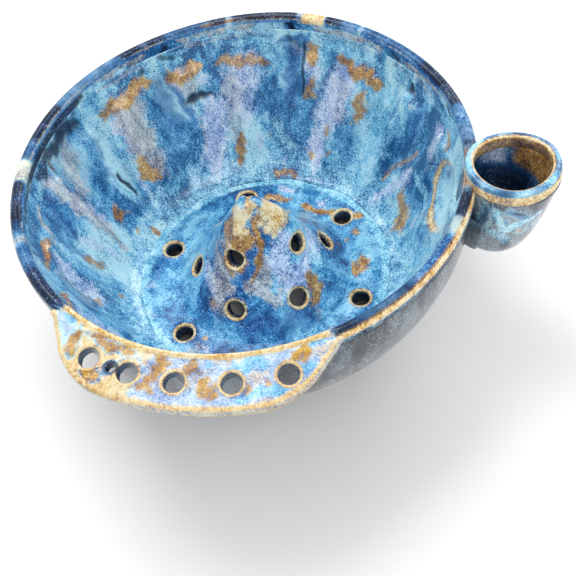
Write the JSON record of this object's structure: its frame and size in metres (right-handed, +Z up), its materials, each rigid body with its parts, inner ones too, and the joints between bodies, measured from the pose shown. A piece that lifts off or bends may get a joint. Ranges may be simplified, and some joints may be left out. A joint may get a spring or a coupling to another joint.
{
  "type": "berry colander bowl",
  "caption": "Footed stoneware bowl with a pierced floor and strainer cone, a pierced pouring ledge on its rim and a small cup at its side.",
  "frame": {"origin": "centre of the foot ring, on the plane that the bowl stands on", "axes": "+Z up along the bowl's axis, -Y towards the middle of the pouring ledge, +X towards the small cup, which lies 5 degrees round from it"},
  "size_m": [0.1998, 0.1865, 0.0813],
  "materials": {
    "foot_glaze": "semi-gloss dark grey reaction glaze, bare clay where it stands",
    "inner_glaze": "gloss mottled blue reaction glaze",
    "cone_glaze": "gloss lavender blue reaction glaze breaking amber",
    "wall_glaze": "gloss blue reaction glaze breaking lavender and amber on the ridges, dark grey outside",
    "rim_glaze": "gloss navy reaction glaze with cream and amber breaks",
    "ledge_glaze": "gloss cream and amber reaction glaze with pale blue pools",
    "cup_glaze": "gloss grey blue reaction glaze",
    "lip_glaze": "gloss speckled blue reaction glaze with cream and amber breaks",
    "saddle_glaze": "semi-gloss dark grey blue reaction glaze"
  },
  "bodies": {
    "root": {"foot_ring": "foot_glaze", "bowl_floor": "inner_glaze", "strainer_cone": "cone_glaze", "fluted_wall": "wall_glaze", "rolled_rim": "rim_glaze", "pouring_ledge": "ledge_glaze", "side_cup": "cup_glaze", "cup_lip": "lip_glaze", "cup_saddle": "saddle_glaze"}
  },
  "joints": []
}
